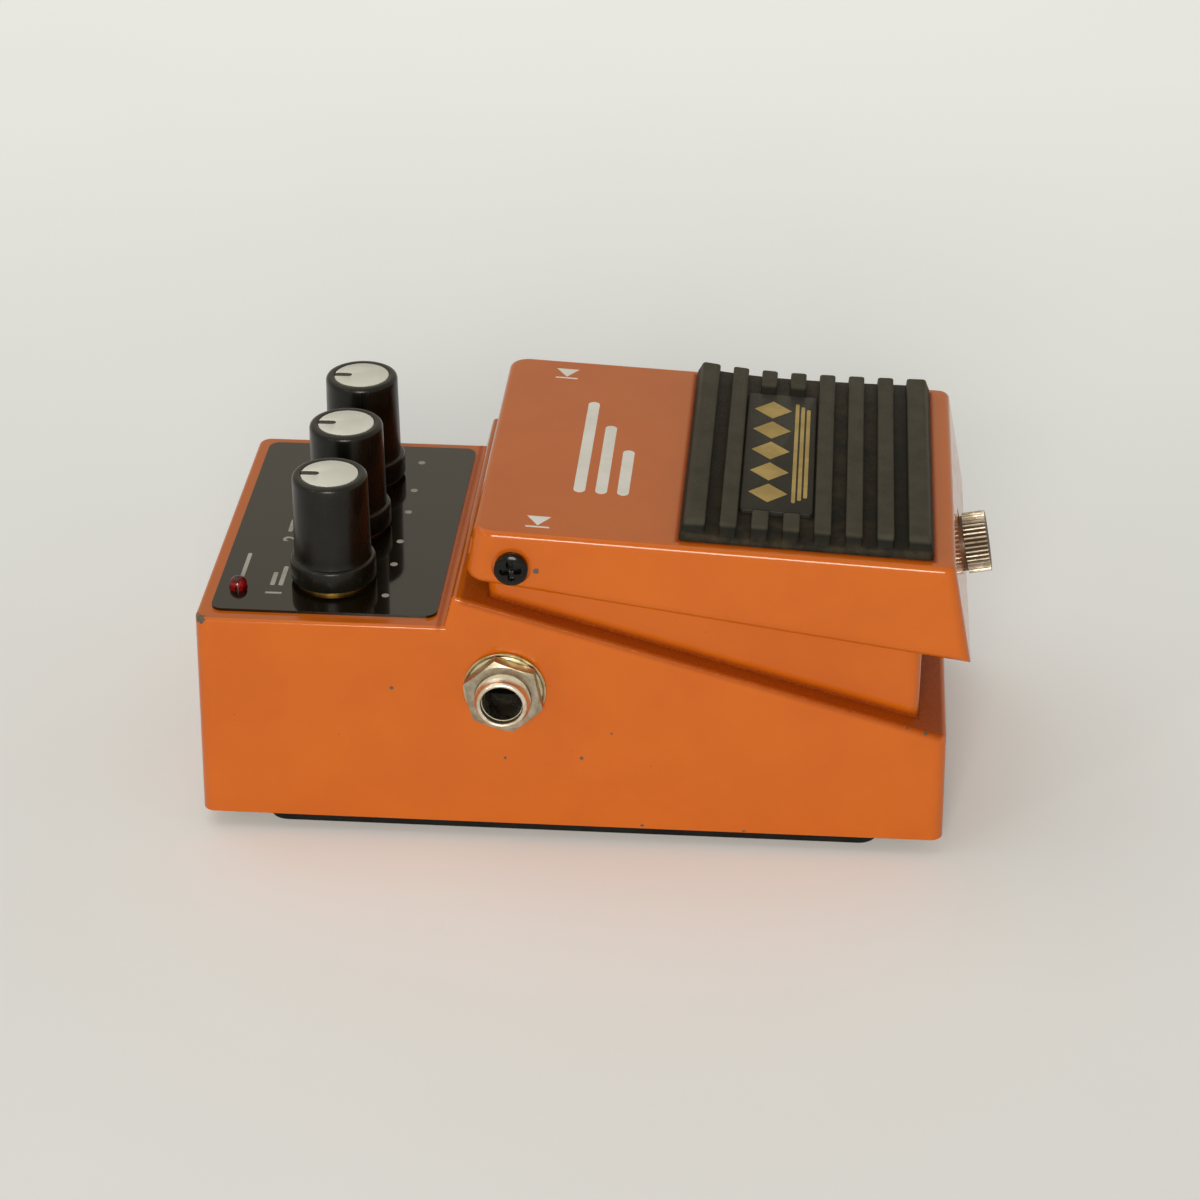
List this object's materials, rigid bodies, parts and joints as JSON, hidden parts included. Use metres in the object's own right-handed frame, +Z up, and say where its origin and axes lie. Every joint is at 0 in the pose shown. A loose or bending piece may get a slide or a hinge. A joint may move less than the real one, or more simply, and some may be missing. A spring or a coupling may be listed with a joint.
{
  "type": "analog delay pedal",
  "caption": "Compact foot pedal for guitar effects: die-cast case with a hinged ribbed treadle, knob deck, check lamp, latch screw and a jack in each side.",
  "frame": {"origin": "middle of the rubber base pad's underside, on the surface that the pedal stands on", "axes": "+Y runs from the player to the knobs, +Z is up, +X is the input jack's side"},
  "size_m": [0.081, 0.138, 0.0616],
  "materials": {
    "orange_paint": "orange enamel on a die casting, semi-gloss",
    "panel_black": "gloss black panel",
    "knob_black": "smooth gloss black moulding",
    "inlay_white": "off-white printed disc",
    "tread_rubber": "black ribbed rubber",
    "plate_grey": "dark satin plate",
    "base_rubber": "black pebbled rubber",
    "nickel": "nickel plate, slightly dulled",
    "black_steel": "blackened screw steel",
    "zinc_steel": "zinc plated sheet",
    "spring_steel": "oiled spring wire",
    "brass": "plain brass",
    "aluminium_can": "pressed can",
    "lamp_red": "clear red lens, unlit",
    "board_green": "lacquered circuit board",
    "chip_black": "moulded epoxy",
    "capacitor_blue": "shrunk sleeve",
    "switch_black": "moulded switch and jack bodies",
    "nylon_white": "nylon",
    "battery_wrap": "plain grey jacket",
    "snap_vinyl": "soft vinyl",
    "lead_vinyl": "insulated leads",
    "foam_grey": "closed-cell foam"
  },
  "bodies": {
    "case": {"case": "orange_paint", "control_panel": "panel_black", "base_plate": "zinc_steel", "base_pad": "base_rubber", "base_screws": "nickel", "pivot_screw_left": "black_steel", "pivot_screw_right": "black_steel", "return_spring": "spring_steel", "foot_switch": "switch_black", "switch_board": "board_green", "switch_board_screws": "zinc_steel", "main_board": "board_green", "board_chips": "chip_black", "board_capacitors": "capacitor_blue", "board_screws": "zinc_steel", "dc_jack": "switch_black", "dc_jack_nut": "nickel", "check_led": "lamp_red", "battery": "battery_wrap", "battery_snap": "snap_vinyl", "battery_leads": "lead_vinyl", "lead_grommet": "base_rubber", "battery_foam": "foam_grey", "output_jack": "nickel", "output_jack_washer": "nickel", "output_jack_nut": "nickel", "input_jack": "nickel", "input_jack_washer": "nickel", "input_jack_nut": "nickel", "time_pot": "aluminium_can", "time_pot_washer": "brass", "time_pot_nut": "nickel", "repeat_pot": "aluminium_can", "repeat_pot_washer": "brass", "repeat_pot_nut": "nickel", "level_pot": "aluminium_can", "level_pot_washer": "brass", "level_pot_nut": "nickel"},
    "latch": {"latch_nut": "brass"},
    "treadle": {"treadle": "orange_paint", "treadle_pad": "tread_rubber", "tread_plate": "plate_grey", "switch_pusher": "tread_rubber", "pivot_bush_left": "nylon_white", "pivot_bush_right": "nylon_white"},
    "thumb_washer": {"thumbscrew_washer": "nickel"},
    "thumb_screw": {"thumbscrew": "nickel"},
    "plunger": {"switch_plunger": "nylon_white"},
    "time_control": {"time_knob": "knob_black", "time_knob_cap": "inlay_white", "time_pot_shaft": "zinc_steel"},
    "repeat_control": {"repeat_knob": "knob_black", "repeat_knob_cap": "inlay_white", "repeat_pot_shaft": "zinc_steel"},
    "level_control": {"level_knob": "knob_black", "level_knob_cap": "inlay_white", "level_pot_shaft": "zinc_steel"}
  },
  "joints": [
    {"name": "treadle_open", "type": "hinge", "parent": "case", "child": "latch", "pos_m": [0, 0.0095, 0.0531], "axis": [-1, 0, 0], "range_deg": [0, 75]},
    {"name": "treadle_press", "type": "hinge", "parent": "latch", "child": "treadle", "pos_m": [0, 0.0095, 0.0531], "axis": [1, 0, 0], "range_deg": [0, 3], "stiffness_Nm_per_rad": 8, "springref_deg": -3.44, "deforming": ["return_spring"]},
    {"name": "thumbscrew_withdraw", "type": "slide", "parent": "latch", "child": "thumb_washer", "axis": [0, -0.982, 0.1886], "range_m": [0, 0.0021]},
    {"name": "thumbscrew_turn", "type": "hinge", "parent": "thumb_washer", "child": "thumb_screw", "pos_m": [0, -0.06605, 0.0421], "axis": [0, -0.982, 0.1886], "range_deg": [0, 1080]},
    {"name": "switch_plunge", "type": "slide", "parent": "case", "child": "plunger", "axis": [0, 0, -1], "range_m": [0, 0.00125]},
    {"name": "time_turn", "type": "hinge", "parent": "case", "child": "time_control", "pos_m": [-0.0195, 0.0417, 0.05], "axis": [0, 0, 1], "range_deg": [-150, 150]},
    {"name": "repeat_turn", "type": "hinge", "parent": "case", "child": "repeat_control", "pos_m": [0, 0.0417, 0.05], "axis": [0, 0, 1], "range_deg": [-150, 150]},
    {"name": "level_turn", "type": "hinge", "parent": "case", "child": "level_control", "pos_m": [0.0195, 0.0417, 0.05], "axis": [0, 0, 1], "range_deg": [-150, 150]}
  ],
  "couplings": [
    {"joint": "thumbscrew_turn", "follows": "thumbscrew_withdraw", "rad_per_m": 8975},
    {"joint": "switch_plunge", "follows": "treadle_press", "m_per_rad": 0.0235}
  ]
}
